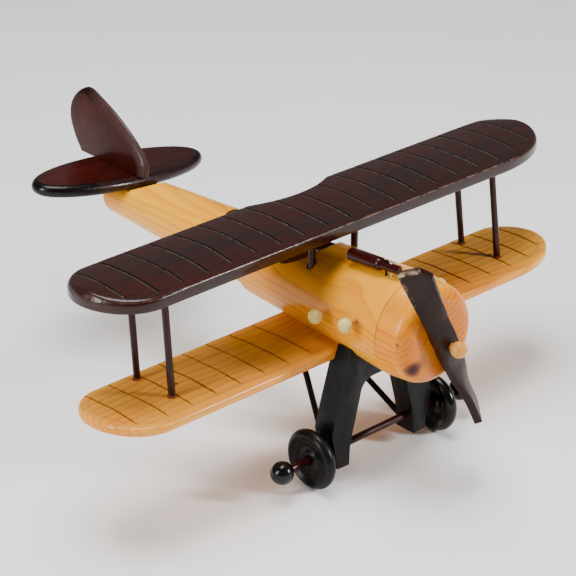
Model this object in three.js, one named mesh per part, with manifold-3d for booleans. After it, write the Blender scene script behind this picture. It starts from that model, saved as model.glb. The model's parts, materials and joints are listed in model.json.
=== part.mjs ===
// A turned and carved wooden biplane display model: log fuselage, two plank wings on dowel struts,
// a free-spinning propeller and two free-spinning wheels. Millimetres, nose towards -Y, +Z up, origin on
// the ground below the middle of the model.
import * as THREE from "three";
import { mergeVertices } from "three/addons/utils/BufferGeometryUtils.js";
import Module from "manifold-3d";

const wasm = await Module();
wasm.setup();

// ---- driving dimensions ----
const GAP = 0.3; // clearance between touching pieces
const AXIS_Z = 120.1; // height of the fuselage axis

const NOSE_Y = -189.2; // front face of the cowl
const COWL_JOINT_Y = -163.7;
const TAIL_JOINT_Y = -13.3;
const TAIL_END_Y = 158.8;
const NOSE_R = 35.8;
const NOSE_ROUND = 11.5;
const COWL_JOINT_R = 37.2;
const BODY_END_R = 28.7;
const BOOM_START_R = 26.2; // the boom is turned smaller, which leaves a step behind the body
const BOOM_END_R = 17.5;
const BOOM_ROUND = 3.5;
const BOOM_DROOP = 2.9; // the boom's axis sinks this far at its end

const FRONT_COCKPIT = { y: -55.9, radius: 25.5, floorZ: 128 };
const REAR_COCKPIT = { y: 11, radius: 14.5, floorZ: 126 };

// A wing tip is two quarter ellipses: a long one at the front corner and a short one at the rear corner.
// The hand-cut front corners differ from side to side.
const UPPER_WING = {
  halfSpan: 215, middle: 3.2, front: -107.2, rear: -35.5, under: 171.6, edge: 8.8, crown: 3.2, tail: 8,
  frontCorner: { right: 38, left: 66 }, rearCorner: 27, rearCornerDepth: 30,
};
const LOWER_WING = {
  halfSpan: 218, middle: 0, front: -121.9, rear: -49, under: 89.7, edge: 6.2, crown: 1.4, tail: 4.6,
  frontCorner: { right: 36, left: 60 }, rearCorner: 27, rearCornerDepth: 31,
};
const SCALLOP_DEPTH = 11;
const SCALLOP_HALF_WIDTH = 37.6;

const STRUT_FOOT_X = 159.8;
const STRUT_TOP_X = 158;
const STRUT_FOOT_Z = 96.5;
const STRUT_FOOT_YS = { front: -95.9, rear: -58.9 };
const STRUT_RAKE = 8.1; // how far the top of a strut lies behind its foot
const STRUT_R = 2.5;
const STRUT_SINK = 4; // depth of a strut in its blind hole
const CABANE_X = 20.6;
const CABANE_Y = -83.9;
const CABANE_R = 2.65;
const BRAD_R = 0.7;
const BRAD_LENGTH = 5;
const BRAD_PLACES = { right: [-146.6, -84.5], left: [158.6, -89.8] };

const TAIL_ROLL = THREE.MathUtils.degToRad(5.9); // the tail's seat is cut a little out of level
const TAIL_Z = 133.1; // middle height of the stabiliser
const STABILISER = { halfSpan: 81, front: 127.5, rear: 188.9, thick: 9.8 };
const FIN_THICK = 9;
// Side outline of the fin from the foot of its leading edge over the top to the foot of its trailing edge.
const FIN_OUTLINE = [
  [123.5, 138.3], [124.5, 149.5], [138.5, 162.8], [160.8, 176.3], [183, 186], [198.5, 190.4], [211, 183.9],
  [218.6, 173], [218.3, 160], [211, 146.5], [204, 138.3],
];

const GUN_REAR = [-10.4, -112.2, 160.3];
const GUN_FRONT = [-9, -143.4, 161.9];
const GUN_R = 4.9;
const BARREL_R = 3.2;
const BARREL_LENGTH = 14.6;
const GUN_NAIL_R = 0.8;
const GUN_NAIL_HEAD_R = 1.8;

const EXHAUST = [
  { name: "rear", y: -114.4, z: 124.4 },
  { name: "front", y: -143.9, z: 128.6 },
];
const EXHAUST_BALL_R = 5.5;
const EXHAUST_PEG_R = 1.7;
const EXHAUST_BALL_X = 45.8;

const PROP = {
  y: -195, z: 118.3, radius: 73.5, turn: 27, pitch: 50, hubWidth: 15, tipWidth: 22.5, hubDepth: 10.6, tipDepth: 5.8,
};
const PROP_PIN_R = 2.5;
const PROP_BALL_R = 6.3;
const PROP_BALL_Y = -207;

const GEAR_FRONT_Y = -136;
const GEAR_REAR_Y = -118.3;
const AXLE_Y = -127.5;
const AXLE_R = 2.75;
const WHEEL_R = 22.5;
const WHEEL_WIDTH = 9.6;
const WHEEL_X = 60.9;
const HUB_BALL_R = 8.9;
const HUB_BALL_X = 88.8;
const BRACE_R = 2.25;
const BRACE_FOOT = [38.4, -119.3, 14.2];
const BRACE_TOP = [3.3, -38.8, 95.4];

const PIN_R = 4; // hidden joint dowels
const MIDDLE_Y = 2.8; // halfway between the propeller ball and the fin, where the origin lies

// ---- finishes ----
const finish = (color, roughness, metalness = 0) => ({ color, roughness, metalness });
const PINE = finish(0xe8b868, 0.3);
const PINE_WING = finish(0xd8a05a, 0.32);
const MAHOGANY = finish(0x451c16, 0.28);
const DARK_MAHOGANY = finish(0x2e1a1a, 0.28);
const BLACK = finish(0x1c1e20, 0.45);
const MAROON = finish(0x4b2328, 0.4);
const IVORY = finish(0xcdc391, 0.35);
const BEAD = finish(0xd8b075, 0.3);
const WALNUT = finish(0x33221b, 0.5);
const STEEL = finish(0xb8b8ba, 0.3, 0.9);
const BIRCH = finish(0xd9b98a, 0.6);

// ---- helpers ----
const v3 = (x, y, z) => new THREE.Vector3(x, y, z);

function toSolid(geometry) {
  const flat = geometry.clone();
  flat.deleteAttribute("normal");
  flat.deleteAttribute("uv");
  const merged = mergeVertices(flat, 1e-4);
  return new wasm.Manifold(
    new wasm.Mesh({
      numProp: 3,
      vertProperties: new Float32Array(merged.attributes.position.array),
      triVerts: new Uint32Array(merged.index.array),
    }),
  );
}

function toGeometry(solid) {
  const mesh = solid.getMesh();
  const geometry = new THREE.BufferGeometry();
  geometry.setAttribute("position", new THREE.BufferAttribute(new Float32Array(mesh.vertProperties), 3));
  geometry.setIndex(new THREE.BufferAttribute(new Uint32Array(mesh.triVerts), 1));
  geometry.computeVertexNormals();
  return geometry;
}

const cut = (base, ...tools) =>
  toGeometry(tools.reduce((left, tool) => left.subtract(toSolid(tool)), toSolid(base)));
const join = (base, ...others) =>
  toGeometry(others.reduce((left, other) => left.add(toSolid(other)), toSolid(base)));

// A round rod from one point to another.
function rod(from, to, radius, sides = 12) {
  const a = v3(...from);
  const b = v3(...to);
  const along = b.clone().sub(a);
  const geometry = new THREE.CylinderGeometry(radius, radius, along.length(), sides);
  const turn = new THREE.Quaternion().setFromUnitVectors(v3(0, 1, 0), along.normalize());
  const middle = a.add(b).multiplyScalar(0.5);
  return geometry.applyMatrix4(new THREE.Matrix4().compose(middle, turn, v3(1, 1, 1)));
}

// The blind hole that takes the end of a rod.
function hole(from, to, radius, sides = 12) {
  const along = v3(...to).sub(v3(...from)).setLength(GAP);
  const past = (point, sign) => v3(...point).addScaledVector(along, sign).toArray();
  return rod(past(from, -1), past(to, 1), radius + GAP, sides);
}

// A profile of [radius, y] pairs turned about the fuselage axis.
function turned(profile, sides = 36) {
  const geometry = new THREE.LatheGeometry(profile.map(([r, y]) => new THREE.Vector2(r, y)), sides);
  return geometry.translate(0, 0, AXIS_Z);
}

// The quarter round at the shoulder of a turned end: dir is -1 at a front end and 1 at a rear end.
function shoulder(radius, y, depth, length, dir, steps = 6) {
  const points = [];
  for (let i = 0; i <= steps; i++) {
    const a = (i / steps) * (Math.PI / 2);
    points.push([radius - depth + depth * Math.sin(a), y - dir * length * (1 - Math.cos(a))]);
  }
  return dir < 0 ? points : points.reverse();
}

const ball = (x, y, z, radius, wide = 16, high = 9) =>
  new THREE.SphereGeometry(radius, wide, high).rotateX(Math.PI / 2).translate(x, y, z);

const box = (x0, x1, y0, y1, z0, z1) =>
  new THREE.BoxGeometry(x1 - x0, y1 - y0, z1 - z0).translate((x0 + x1) / 2, (y0 + y1) / 2, (z0 + z1) / 2);

const upright = (x, y, z0, z1, radius, sides = 36) => rod([x, y, z0], [x, y, z1], radius, sides);

// A skin over rings of equal point count, closed by a fan at each end.
function loft(rings) {
  const positions = [];
  const index = [];
  const count = rings[0].length;
  rings.forEach((ring) => ring.forEach((p) => positions.push(p.x, p.y, p.z)));
  for (let i = 0; i < rings.length - 1; i++)
    for (let j = 0; j < count; j++) {
      const a = i * count + j;
      const b = i * count + ((j + 1) % count);
      index.push(a, b, b + count, a, b + count, a + count);
    }
  const fan = (ring, start, flip) => {
    const middle = ring.reduce((sum, p) => sum.add(p), v3(0, 0, 0)).divideScalar(count);
    const hub = positions.length / 3;
    positions.push(middle.x, middle.y, middle.z);
    for (let j = 0; j < count; j++) {
      const a = start + j;
      const b = start + ((j + 1) % count);
      index.push(...(flip ? [hub, b, a] : [hub, a, b]));
    }
  };
  fan(rings[0], 0, true);
  fan(rings[rings.length - 1], (rings.length - 1) * count, false);
  const geometry = new THREE.BufferGeometry();
  geometry.setAttribute("position", new THREE.BufferAttribute(new Float32Array(positions), 3));
  geometry.setIndex(index);
  return toSolid(geometry).volume() > 0 ? geometry : loft([...rings].reverse());
}

// ---- wings ----
// Cross-section of a wing plank at one station, as [fraction of chord, height] pairs: flat underside,
// upright front edge, crowned top, thinner rear edge.
function wingSection(wing, y0, y1, scale, grow) {
  const chord = y1 - y0;
  const at = (t, z) => [y0 + t * chord, wing.under + z * scale];
  const points = [at(0.06, 0), at(0.96, 0), at(1, wing.tail * 0.35), at(1, wing.tail * 0.65), at(0.985, wing.tail)];
  for (let i = 6; i >= 1; i--) {
    const t = i / 7;
    const rise = wing.edge + (wing.tail - wing.edge) * t * t + wing.crown * Math.sin(Math.PI * t) ** 0.8;
    points.push(at(t, rise));
  }
  points.push(at(0.03, wing.edge), at(0, wing.edge * 0.8), at(0, wing.edge * 0.25));
  const middle = [(y0 + y1) / 2, wing.under + wing.edge / 2];
  return points.map(([y, z]) => [y + Math.sign(y - middle[0]) * grow, z + Math.sign(z - middle[1]) * grow]);
}

// How much of a quarter ellipse's depth is left at a distance before the tip.
function cornerShare(toTip, length) {
  const past = THREE.MathUtils.clamp(1 - toTip / length, 0, 1);
  return Math.sqrt(1 - past * past);
}

function wingPlank(wing, grow = 0) {
  const { halfSpan, middle, front, rear, rearCorner, rearCornerDepth } = wing;
  const tipY = rear - rearCornerDepth;
  const steps = 10;
  const stations = (side, hand) => {
    const corner = wing.frontCorner[hand];
    const rings = [];
    for (let i = 0; i <= steps; i++) {
      const toTip = corner * (1 - Math.sin((i / steps) * (Math.PI / 2)));
      const y0 = Math.min(tipY - (tipY - front) * cornerShare(toTip, corner), tipY - 1.5);
      const y1 = Math.max(tipY + rearCornerDepth * cornerShare(toTip, rearCorner), tipY + 1.5);
      const share = (y1 - y0) / (rear - front);
      const thin = 1 - 0.35 * Math.max(0, 1 - share * 2.2);
      const x = middle + side * (halfSpan - toTip);
      rings.push(wingSection(wing, y0, y1, thin, grow).map(([y, z]) => v3(x, y, z)));
    }
    return rings;
  };
  return loft([...stations(-1, "right").reverse(), ...stations(1, "left")]);
}

// ---- pieces that other pieces are bored for ----
const SIDES = [
  [-1, "right"],
  [1, "left"],
];
const STRUTS = SIDES.flatMap(([side, hand]) =>
  Object.entries(STRUT_FOOT_YS).map(([place, y]) => {
    const foot = v3(side * STRUT_FOOT_X, y, STRUT_FOOT_Z);
    const top = v3(side * STRUT_TOP_X, y + STRUT_RAKE, UPPER_WING.under);
    const sink = top.clone().sub(foot).setLength(STRUT_SINK);
    return {
      name: `strut_${hand}_${place}`,
      ends: [foot.sub(sink).toArray(), top.add(sink).toArray()],
      radius: STRUT_R,
    };
  }),
);
const CABANES = SIDES.map(([side, hand]) => ({
  name: `cabane_strut_${hand}`,
  ends: [[side * CABANE_X, CABANE_Y, AXIS_Z + 18], [side * CABANE_X, CABANE_Y, UPPER_WING.under + STRUT_SINK]],
  radius: CABANE_R,
}));
const BRACES = SIDES.map(([side, hand]) => ({
  name: `gear_brace_${hand}`,
  ends: [BRACE_FOOT, BRACE_TOP].map(([x, y, z]) => [side * x, y, z]),
  radius: BRACE_R,
}));
const PEGS = SIDES.flatMap(([side, hand]) =>
  EXHAUST.map(({ name, y, z }) => ({
    name: `exhaust_peg_${hand}_${name}`,
    ballName: `exhaust_ball_${hand}_${name}`,
    ends: [[side * 29, y, z], [side * (EXHAUST_BALL_X + 2), y, z]],
    radius: EXHAUST_PEG_R,
    centre: [side * EXHAUST_BALL_X, y, z],
  })),
);
// A small nail near each front strut foot, driven down into the lower wing.
const BRADS = SIDES.map(([, hand]) => {
  const [x, y] = BRAD_PLACES[hand];
  const topZ = LOWER_WING.under + LOWER_WING.edge + LOWER_WING.crown;
  return { name: `strut_brad_${hand}`, ends: [[x, y, topZ - BRAD_LENGTH], [x, y, topZ + 0.2]], radius: BRAD_R };
});
const COWL_PIN = { ends: [[0, COWL_JOINT_Y - 12, AXIS_Z + 14], [0, COWL_JOINT_Y + 16, AXIS_Z + 14]], radius: PIN_R };
const TAIL_PIN = { ends: [[0, TAIL_JOINT_Y - 16, AXIS_Z - 8], [0, TAIL_JOINT_Y + 16, AXIS_Z - 8]], radius: PIN_R };
const PROP_PIN = { ends: [[0, NOSE_Y + 14, PROP.z], [0, PROP_BALL_Y + 1.5, PROP.z]], radius: PROP_PIN_R };
const rollTail = (geometry) => geometry.translate(0, 0, -TAIL_Z).rotateY(TAIL_ROLL).translate(0, 0, TAIL_Z);
const FIN_PINS = [[137, "front"], [151, "rear"]].map(([y, place]) => ({
  name: `fin_pin_${place}`,
  ends: [118, 150].map((z) => [(z - TAIL_Z) * Math.sin(TAIL_ROLL), y, TAIL_Z + (z - TAIL_Z) * Math.cos(TAIL_ROLL)]),
  radius: 1.6,
}));
const AXLE = { ends: [[-HUB_BALL_X, AXLE_Y, WHEEL_R], [HUB_BALL_X, AXLE_Y, WHEEL_R]], radius: AXLE_R };

const pieceOf = (row, sides = 12) => rod(...row.ends, row.radius, sides);
const holeOf = (row, sides = 12) => hole(...row.ends, row.radius, sides);

// ---- fuselage ----
function noseCowl() {
  const profile = [
    [0, NOSE_Y],
    ...shoulder(NOSE_R, NOSE_Y, NOSE_ROUND, NOSE_ROUND, -1),
    [COWL_JOINT_R, COWL_JOINT_Y - GAP / 2],
    [0, COWL_JOINT_Y - GAP / 2],
  ];
  return cut(turned(profile), holeOf(COWL_PIN), holeOf(PROP_PIN));
}

function bodyRadius(y) {
  return THREE.MathUtils.mapLinear(y, COWL_JOINT_Y, TAIL_JOINT_Y, COWL_JOINT_R, BODY_END_R);
}

function fuselageBody() {
  const front = COWL_JOINT_Y + GAP / 2;
  const rear = TAIL_JOINT_Y - GAP / 2;
  const profile = [[0, front], [bodyRadius(front), front], [BODY_END_R + 0.6, rear - 0.8], [BODY_END_R - 0.4, rear],
    [0, rear]];
  const cockpit = upright(0, FRONT_COCKPIT.y, FRONT_COCKPIT.floorZ, AXIS_Z + 45, FRONT_COCKPIT.radius);
  const wingSeat = wingPlank(LOWER_WING, GAP);
  const belowWing = box(-60, 60, LOWER_WING.front - GAP, LOWER_WING.rear + GAP, AXIS_Z - 50,
    LOWER_WING.under + LOWER_WING.edge / 2);
  return cut(turned(profile), cockpit, wingSeat, belowWing, holeOf(COWL_PIN), holeOf(TAIL_PIN),
    ...[...CABANES, ...BRACES, ...GUN_NAILS].map((row) => holeOf(row)), ...PEGS.map((row) => holeOf(row, 12)));
}

function tailBoom() {
  const front = TAIL_JOINT_Y + GAP / 2;
  const profile = [
    [0, front],
    [BOOM_START_R, front],
    ...shoulder(BOOM_END_R, TAIL_END_Y, BOOM_ROUND, BOOM_ROUND, 1, 3),
    [0, TAIL_END_Y],
  ];
  const boom = turned(profile).translate(0, -TAIL_JOINT_Y, 0);
  const droop = -BOOM_DROOP / (TAIL_END_Y - TAIL_JOINT_Y);
  boom.applyMatrix4(new THREE.Matrix4().makeShear(0, 0, 0, droop, 0, 0)).translate(0, TAIL_JOINT_Y, 0);
  const cockpit = upright(0, REAR_COCKPIT.y, REAR_COCKPIT.floorZ, AXIS_Z + 45, REAR_COCKPIT.radius);
  const seat = box(-40, 40, STABILISER.front - GAP, TAIL_END_Y + 5, TAIL_Z - STABILISER.thick / 2 - GAP, AXIS_Z + 40);
  return cut(boom, cockpit, rollTail(seat), holeOf(TAIL_PIN), ...FIN_PINS.map((row) => holeOf(row, 12)));
}

// ---- wings with their holes ----
function upperWing() {
  const reach = (SCALLOP_HALF_WIDTH ** 2 + SCALLOP_DEPTH ** 2) / (2 * SCALLOP_DEPTH);
  const scallop = upright(0, UPPER_WING.rear - SCALLOP_DEPTH + reach, 150, 200, reach, 96);
  return cut(wingPlank(UPPER_WING), scallop, ...[...STRUTS, ...CABANES].map((row) => holeOf(row)));
}

const lowerWing = () => cut(wingPlank(LOWER_WING), ...[...STRUTS, ...BRADS].map((row) => holeOf(row)));

// ---- tail surfaces ----
function stabiliser() {
  const { halfSpan, front, rear, thick } = STABILISER;
  const inset = 4;
  const shape = new THREE.Shape();
  shape.absellipse(0, 0, halfSpan - inset, (rear - front) / 2 - inset, 0, Math.PI * 2);
  const plate = new THREE.ExtrudeGeometry(shape, {
    depth: thick - 2 * inset, bevelEnabled: true, bevelThickness: inset, bevelSize: inset,
    bevelSegments: 3, curveSegments: 20,
  });
  plate.translate(0, (front + rear) / 2, TAIL_Z - thick / 2 + inset);
  return cut(rollTail(plate), ...FIN_PINS.map((row) => holeOf(row, 12)));
}

function fin() {
  const inset = 2.4;
  const shape = new THREE.Shape();
  const points = FIN_OUTLINE.map(([y, z]) => new THREE.Vector2(y, z));
  shape.moveTo(points[0].x, points[0].y);
  shape.splineThru(points.slice(1));
  shape.closePath();
  const plate = new THREE.ExtrudeGeometry(shape, {
    depth: FIN_THICK - 2 * inset, bevelEnabled: true, bevelThickness: inset, bevelSize: inset,
    bevelOffset: -inset, bevelSegments: 2, curveSegments: 3,
  });
  plate.translate(0, 0, -FIN_THICK / 2 + inset);
  plate.applyMatrix4(new THREE.Matrix4().makeBasis(v3(0, 1, 0), v3(0, 0, 1), v3(1, 0, 0)));
  return cut(rollTail(plate), ...FIN_PINS.map((row) => holeOf(row, 12)));
}

// ---- propeller ----
// Each blade turns from flat at the hub to its full pitch at the tip, and widens and thins on the way.
function propeller() {
  const { smoothstep, lerp, degToRad } = THREE.MathUtils;
  const rings = [];
  const steps = 16;
  for (let i = 0; i <= steps; i++) {
    const r = -PROP.radius + (2 * PROP.radius * i) / steps;
    const half = lerp(PROP.hubWidth, PROP.tipWidth, Math.abs(r) / PROP.radius) / 2;
    const depth = lerp(PROP.hubDepth, PROP.tipDepth, smoothstep(Math.abs(r), 5, 24)) / 2;
    const pitch = -Math.sign(r) * degToRad(PROP.pitch) * smoothstep(Math.abs(r), 8, 55);
    const corners = [[-half, -depth], [half, -depth], [half, depth], [-half, depth]];
    rings.push(corners.map(([x, y]) => v3(x, y, r).applyAxisAngle(v3(0, 0, 1), pitch)));
  }
  const blades = loft(rings).rotateY(-degToRad(PROP.turn)).translate(0, PROP.y, PROP.z);
  return cut(blades, hole([0, PROP.y - 12, PROP.z], [0, PROP.y + 12, PROP.z], PROP_PIN_R + 0.1, 20));
}

// ---- landing gear ----
function gearFrame() {
  const outer = [[32.4, 10.3], [43.7, 10.6], [49.4, 39.8], [45.2, 56.1], [36.1, 86.8], [31.3, 101]];
  const inner = [[31.7, 24.9], [29.6, 34.5], [23.3, 58], [21.2, 66.4]];
  const archTop = 74;
  const shape = new THREE.Shape();
  const mirror = ([x, z]) => [-x, z];
  shape.moveTo(...outer[0]);
  outer.slice(1).forEach((p) => shape.lineTo(...p));
  [...outer].reverse().forEach((p) => shape.lineTo(...mirror(p)));
  inner.forEach((p) => shape.lineTo(...mirror(p)));
  shape.quadraticCurveTo(-18.5, archTop, -8, archTop);
  shape.lineTo(8, archTop);
  shape.quadraticCurveTo(18.5, archTop, ...inner[3]);
  inner.slice(0, 3).reverse().forEach((p) => shape.lineTo(...p));
  shape.closePath();
  const plank = new THREE.ExtrudeGeometry(shape, {
    depth: GEAR_REAR_Y - GEAR_FRONT_Y, bevelEnabled: false, curveSegments: 5,
  });
  plank.rotateX(Math.PI / 2).translate(0, GEAR_REAR_Y, 0);
  const belly = turned([
    [0, GEAR_FRONT_Y - 5],
    [bodyRadius(GEAR_FRONT_Y - 5) + GAP, GEAR_FRONT_Y - 5],
    [bodyRadius(GEAR_REAR_Y + 5) + GAP, GEAR_REAR_Y + 5],
    [0, GEAR_REAR_Y + 5],
  ]);
  const rebate = box(-60, 60, LOWER_WING.front - GAP, GEAR_REAR_Y + 5, LOWER_WING.under - GAP, 130);
  return cut(plank, belly, rebate, holeOf(AXLE), ...BRACES.map((row) => holeOf(row)));
}

function wheel(side) {
  const half = WHEEL_WIDTH / 2;
  const bore = AXLE_R + GAP + 0.1;
  const tread = [];
  for (let i = 0; i <= 6; i++) {
    const a = -Math.PI / 2 + (Math.PI * i) / 6;
    tread.push([WHEEL_R - half + half * Math.cos(a), half * Math.sin(a)]);
  }
  const profile = [
    [bore, -half + 1.2],
    [7, -half + 1.2],
    [8.4, -half + 2.6],
    [13, -half + 2.6],
    ...tread,
    [13, half - 2.6],
    [8.4, half - 2.6],
    [7, half - 1.2],
    [bore, half - 1.2],
    [bore, -half + 1.2],
  ];
  const geometry = new THREE.LatheGeometry(profile.map(([r, h]) => new THREE.Vector2(r, h)), 30);
  return geometry.rotateZ(Math.PI / 2).translate(side * WHEEL_X, AXLE_Y, WHEEL_R);
}

const hubBall = (side) => cut(ball(side * HUB_BALL_X, AXLE_Y, WHEEL_R, HUB_BALL_R), holeOf(AXLE));

// ---- gun ----
const GUN_AHEAD = v3(...GUN_FRONT).sub(v3(...GUN_REAR)).normalize();
const gunPoint = (fromFront, up = 0) =>
  v3(...GUN_FRONT).addScaledVector(GUN_AHEAD, fromFront).add(v3(0, 0, up)).toArray();

const BARREL = { ends: [gunPoint(-6), gunPoint(BARREL_LENGTH)], radius: BARREL_R };
const GUN_NAILS = [
  { name: "gun_nail_rear", along: 2.2 },
  { name: "gun_nail_front", along: 7 },
].map(({ name, along }) => {
  const [x, y, z] = gunPoint(along, BARREL_R);
  return { name, ends: [[x, y, 148], [x, y, z + 0.6]], radius: GUN_NAIL_R };
});

function gunJacket() {
  const length = v3(...GUN_FRONT).distanceTo(v3(...GUN_REAR));
  const round = shoulder(GUN_R, 0, 4.5, 4.5, 1, 4);
  const profile = [[0, -length], [GUN_R, -length], ...round, [0, 0]];
  const body = new THREE.LatheGeometry(profile.map(([r, y]) => new THREE.Vector2(r, y)), 20);
  const turn = new THREE.Quaternion().setFromUnitVectors(v3(0, -1, 0), GUN_AHEAD);
  body.applyMatrix4(new THREE.Matrix4().compose(v3(...GUN_REAR), turn, v3(1, 1, 1)));
  return cut(body, holeOf(BARREL));
}

const gunBarrel = () => cut(pieceOf(BARREL), ...GUN_NAILS.map((row) => holeOf(row, 8)));

function gunNail(row) {
  const [x, y, z] = row.ends[1];
  return join(rod(...row.ends, row.radius, 8), rod([x, y, z - 0.2], [x, y, z + 0.7], GUN_NAIL_HEAD_R, 12));
}

// ---- assembly ----
const plane = new THREE.Group();
plane.position.y = -MIDDLE_Y;

function add(parent, name, geometry, look) {
  const mesh = new THREE.Mesh(geometry, new THREE.MeshStandardMaterial(look));
  mesh.name = name;
  parent.add(mesh);
}

const fuselage = new THREE.Group();
add(fuselage, "nose_cowl", noseCowl(), PINE);
add(fuselage, "fuselage_body", fuselageBody(), PINE);
add(fuselage, "tail_boom", tailBoom(), PINE);
add(fuselage, "cowl_dowel", pieceOf(COWL_PIN), BIRCH);
add(fuselage, "tail_dowel", pieceOf(TAIL_PIN), BIRCH);
for (const row of PEGS) {
  add(fuselage, row.name, pieceOf(row, 12), IVORY);
  add(fuselage, row.ballName, cut(ball(...row.centre, EXHAUST_BALL_R), holeOf(row, 12)), IVORY);
}
plane.add(fuselage);

const wings = new THREE.Group();
add(wings, "upper_wing", upperWing(), DARK_MAHOGANY);
add(wings, "lower_wing", lowerWing(), PINE_WING);
for (const row of [...STRUTS, ...CABANES]) add(wings, row.name, pieceOf(row), MAHOGANY);
for (const row of BRADS) add(wings, row.name, pieceOf(row, 8), BLACK);
plane.add(wings);

const tail = new THREE.Group();
add(tail, "stabiliser", stabiliser(), MAHOGANY);
add(tail, "fin", fin(), MAHOGANY);
for (const row of FIN_PINS) add(tail, row.name, pieceOf(row, 12), BIRCH);
plane.add(tail);

const gun = new THREE.Group();
add(gun, "gun_jacket", gunJacket(), MAHOGANY);
add(gun, "gun_barrel", gunBarrel(), MAHOGANY);
add(gun, GUN_NAILS[0].name, gunNail(GUN_NAILS[0]), BLACK);
add(gun, GUN_NAILS[1].name, gunNail(GUN_NAILS[1]), STEEL);
plane.add(gun);

const nose = new THREE.Group();
add(nose, "propeller", propeller(), WALNUT);
add(nose, "propeller_pin", pieceOf(PROP_PIN, 20), BEAD);
add(nose, "propeller_ball", cut(ball(0, PROP_BALL_Y, PROP.z, PROP_BALL_R), holeOf(PROP_PIN, 20)), BEAD);
plane.add(nose);

const gear = new THREE.Group();
add(gear, "gear_frame", gearFrame(), BLACK);
for (const row of BRACES) add(gear, row.name, pieceOf(row), MAHOGANY);
add(gear, "axle", pieceOf(AXLE, 20), MAROON);
for (const [side, hand] of SIDES) {
  add(gear, `wheel_${hand}`, wheel(side), BLACK);
  add(gear, `hub_ball_${hand}`, hubBall(side), BLACK);
}
plane.add(gear);

export default plane;
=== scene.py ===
"""The looks of a turned and carved wooden biplane model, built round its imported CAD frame.

Shapes are worked out in millimetres in the drawing's own frame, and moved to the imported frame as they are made.
"""
import json
import math

import bmesh
import bpy
import numpy as np
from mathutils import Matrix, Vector, noise


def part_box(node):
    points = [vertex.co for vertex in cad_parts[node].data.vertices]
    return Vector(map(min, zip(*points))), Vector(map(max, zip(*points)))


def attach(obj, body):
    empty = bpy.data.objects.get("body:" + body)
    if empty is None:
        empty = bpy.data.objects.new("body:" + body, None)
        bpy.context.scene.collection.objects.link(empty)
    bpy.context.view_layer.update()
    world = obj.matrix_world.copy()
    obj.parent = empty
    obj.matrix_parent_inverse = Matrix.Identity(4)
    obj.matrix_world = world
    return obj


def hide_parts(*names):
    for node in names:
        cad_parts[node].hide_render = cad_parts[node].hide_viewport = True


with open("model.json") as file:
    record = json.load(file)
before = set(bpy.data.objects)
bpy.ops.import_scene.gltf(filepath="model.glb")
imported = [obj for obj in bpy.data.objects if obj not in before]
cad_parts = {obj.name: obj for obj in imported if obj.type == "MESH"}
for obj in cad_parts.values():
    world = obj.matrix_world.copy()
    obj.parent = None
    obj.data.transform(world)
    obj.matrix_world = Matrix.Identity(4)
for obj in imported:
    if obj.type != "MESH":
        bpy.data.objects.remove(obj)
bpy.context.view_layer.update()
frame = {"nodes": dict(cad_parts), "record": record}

MIDDLE_Y = 2.8  # the drawing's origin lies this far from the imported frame's, along Y
AXIS_Z = 120.1  # centre line of the fuselage logs
NOSE_Y, COWL_JOINT_Y, TAIL_JOINT_Y, TAIL_END_Y = -189.2, -163.7, -13.3, 158.8
NOSE_R, COWL_JOINT_R, BODY_END_R = 35.8, 37.2, 28.7
BOOM_START_R, BOOM_END_R, BOOM_DROOP = 26.2, 17.5, 2.9
LOG_WOBBLE = 0.35  # unevenness of the turned logs
FRONT_COCKPIT = (-55.9, 25.5, 128.0)  # y, radius, floor height
REAR_COCKPIT = (11.0, 14.5, 126.0)
CABANE_FOOT = (-20.9, -83.5, 142)  # bottom of the right cabane strut's hole
CABANE_HOLE_R = 3.05
# wings: half the span, its middle in x, the straight edges in y, the underside in z, the thickness at the front edge
# and at the rear with the crown between them, how far each corner runs in along the span, and the rear corners' depth
UPPER = dict(half=215.0, middle=3.2, front=-107.2, rear=-35.5, under=171.6, edge=8.8, crown=3.2, tail=8.0,
             right=38.0, left=66.0, back=27.0, depth=30.0)
LOWER = dict(half=218.0, middle=0.0, front=-121.9, rear=-49.0, under=89.7, edge=6.2, crown=1.4, tail=4.6,
             right=36.0, left=60.0, back=27.0, depth=31.0)
SCALLOP_DEPTH, SCALLOP_HALF = 11.0, 37.6  # the upper wing's cut-out behind the cockpit
SCALLOP_BLEND = 0.5  # how softly it runs into the rear edge
RIB = 21.6  # spacing of the grooves
STRUT_Y = {"front": -95.9, "rear": -58.9}  # where the wing struts stand on the lower wing
DEEPER = 1.4  # how much deeper a colour is mixed than it is seen
TAIL_ROLL, TAIL_Z = math.radians(5.9), 133.1  # lean of the tail boards and height of the stabiliser
PROP_Y, PROP_Z, PROP_R = -195.0, 118.3, 73.5
PROP_TURN, PROP_PITCH = math.radians(27), math.radians(50)  # lean of the blade at rest and twist at its tips
PROP_WIDE = (15, 22.5)  # blade width at the hub and at the tip
PROP_THICK = (10.6, 5.8)  # at the hub and outwards
PROP_BORE_R = 2.9
AXLE_Y, WHEEL_R, WHEEL_X = -127.5, 22.5, 60.9
GEAR_FRONT_Y, GEAR_REAR_Y = -136.0, -118.3
GUN_R = 4.9
record = frame["record"]
body_of = {n: body for body, nodes in record["behaviour"]["bodies"].items() for n in nodes}


# ---- making pieces ----
def make_mesh(name, verts, faces):
    """A mesh in metres from vertices in drawing millimetres."""
    mesh = bpy.data.meshes.new(name)
    points = (np.asarray(verts, float) - (0, MIDDLE_Y, 0)) / 1000
    mesh.from_pydata([tuple(p) for p in points], [], [list(f) for f in faces])
    return mesh


def clean(mesh, join=0.0):
    """Points the faces outwards, with vertices closer than join made one."""
    b = bmesh.new()
    b.from_mesh(mesh)
    if join:
        bmesh.ops.remove_doubles(b, verts=b.verts, dist=join)
    bmesh.ops.recalc_face_normals(b, faces=b.faces)
    b.to_mesh(mesh)
    b.free()


def add_object(name, data):
    obj = bpy.data.objects.new(name, data)
    bpy.context.scene.collection.objects.link(obj)
    return obj


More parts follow.
